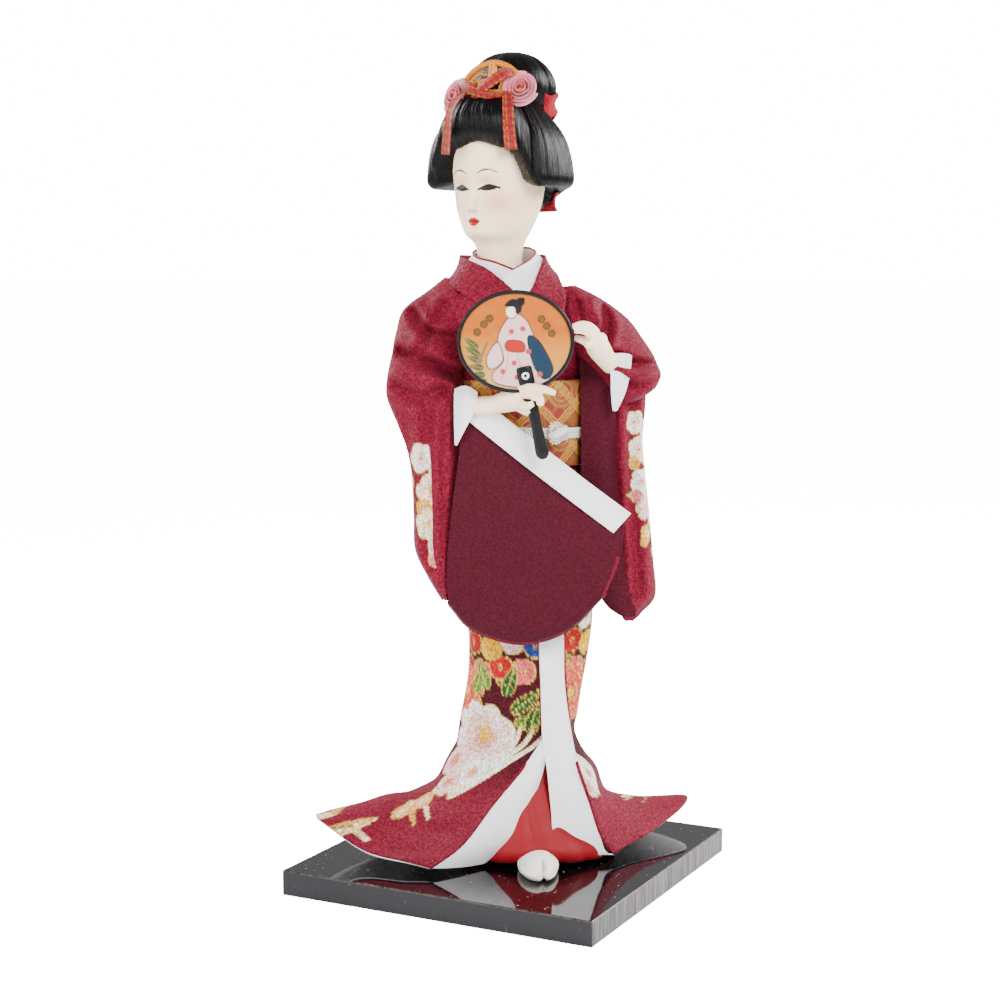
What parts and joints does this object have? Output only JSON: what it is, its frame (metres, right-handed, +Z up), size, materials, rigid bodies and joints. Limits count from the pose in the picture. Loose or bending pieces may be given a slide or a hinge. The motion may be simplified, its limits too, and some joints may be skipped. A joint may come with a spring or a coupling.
{
  "type": "dressed display doll",
  "caption": "Dressed figure of a woman in a kimono holding a round fan, standing on a square black lacquered display board.",
  "frame": {"origin": "centre of the board's underside", "axes": "+Z up through the doll, -Y towards the board's front edge, +X to the right seen from the front; the dressed body is turned 27 degrees about +Z on the board"},
  "size_m": [0.1258, 0.1282, 0.308],
  "materials": {
    "lacquer": "gloss black lacquer, sawn edges",
    "steel_wire": "bare wire",
    "tabi": "smooth white cotton",
    "body_core": "unpainted moulding",
    "filling": "cotton wadding",
    "red_silk": "plain red satin",
    "white_satin": "white satin",
    "printed_crepe": "maroon crepe printed with flowers and gold outlines",
    "maroon_crepe": "pebbled maroon crepe",
    "dark_lining": "smooth dark maroon cloth",
    "brocade": "gold, orange and red brocade",
    "white_braid": "flat braided cord",
    "doll_skin": "white shell-powder finish",
    "fan_print": "printed sheet",
    "fan_black": "black",
    "fan_eyelet": "white eyelet",
    "peg_wood": "plain dowel",
    "black_hair": "glossy combed nylon hair",
    "comb_yellow": "yellow openwork",
    "pink_ribbon": "rolled satin ribbon",
    "red_gold_ribbon": "red ribbon with gold thread",
    "red_cloth": "plain red crepe"
  },
  "bodies": {
    "base": {"base_board": "lacquer"},
    "figure": {"support_rod": "steel_wire", "right_arm_wire": "steel_wire", "left_arm_wire": "steel_wire", "right_foot": "tabi", "left_foot": "tabi", "torso_core": "body_core", "right_leg": "body_core", "left_leg": "body_core", "skirt_stuffing": "filling", "right_upper_arm": "filling", "left_upper_arm": "filling", "under_robe": "red_silk", "collar_trim": "red_silk", "skirt_lining": "white_satin", "under_collar": "white_satin", "right_undersleeve": "white_satin", "left_undersleeve": "white_satin", "right_sleeve_band": "white_satin", "kimono_skirt": "printed_crepe", "kimono_bodice": "maroon_crepe", "kimono_collar": "maroon_crepe", "right_sleeve": "maroon_crepe", "left_sleeve": "maroon_crepe", "right_sleeve_lining": "dark_lining", "left_sleeve_lining": "dark_lining", "obi": "brocade", "obi_bow": "brocade", "obi_cord": "white_braid", "obi_cord_knot": "white_braid", "right_forearm": "doll_skin", "left_forearm": "doll_skin"},
    "head": {"neck_peg": "peg_wood", "head_shell": "doll_skin", "front_hair": "black_hair", "left_side_hair": "black_hair", "right_side_hair": "black_hair", "back_hair": "black_hair", "bun": "black_hair", "comb": "comb_yellow", "left_flower": "pink_ribbon", "right_flower": "pink_ribbon", "ribbon_bow": "red_gold_ribbon", "left_ribbon_tail": "red_gold_ribbon", "right_ribbon_tail": "red_gold_ribbon", "bun_cloth": "red_cloth", "nape_ribbon": "red_cloth"},
    "fan": {"fan_leaf": "fan_print", "fan_rim": "fan_black", "fan_handle": "fan_black", "fan_rivet": "fan_eyelet"}
  },
  "joints": [
    {"name": "figure_lift", "type": "slide", "parent": "base", "child": "figure", "axis": [0, 0, 1], "range_m": [0, 0.03]},
    {"name": "head_turn", "type": "hinge", "parent": "figure", "child": "head", "pos_m": [-0.0036, -0.0013, 0.235], "axis": [0, 0, 1], "range_deg": [-25, 25]},
    {"name": "fan_slide", "type": "slide", "parent": "figure", "child": "fan", "axis": [-0.1425, -0.0726, 0.9871], "range_m": [0, 0.04]}
  ]
}
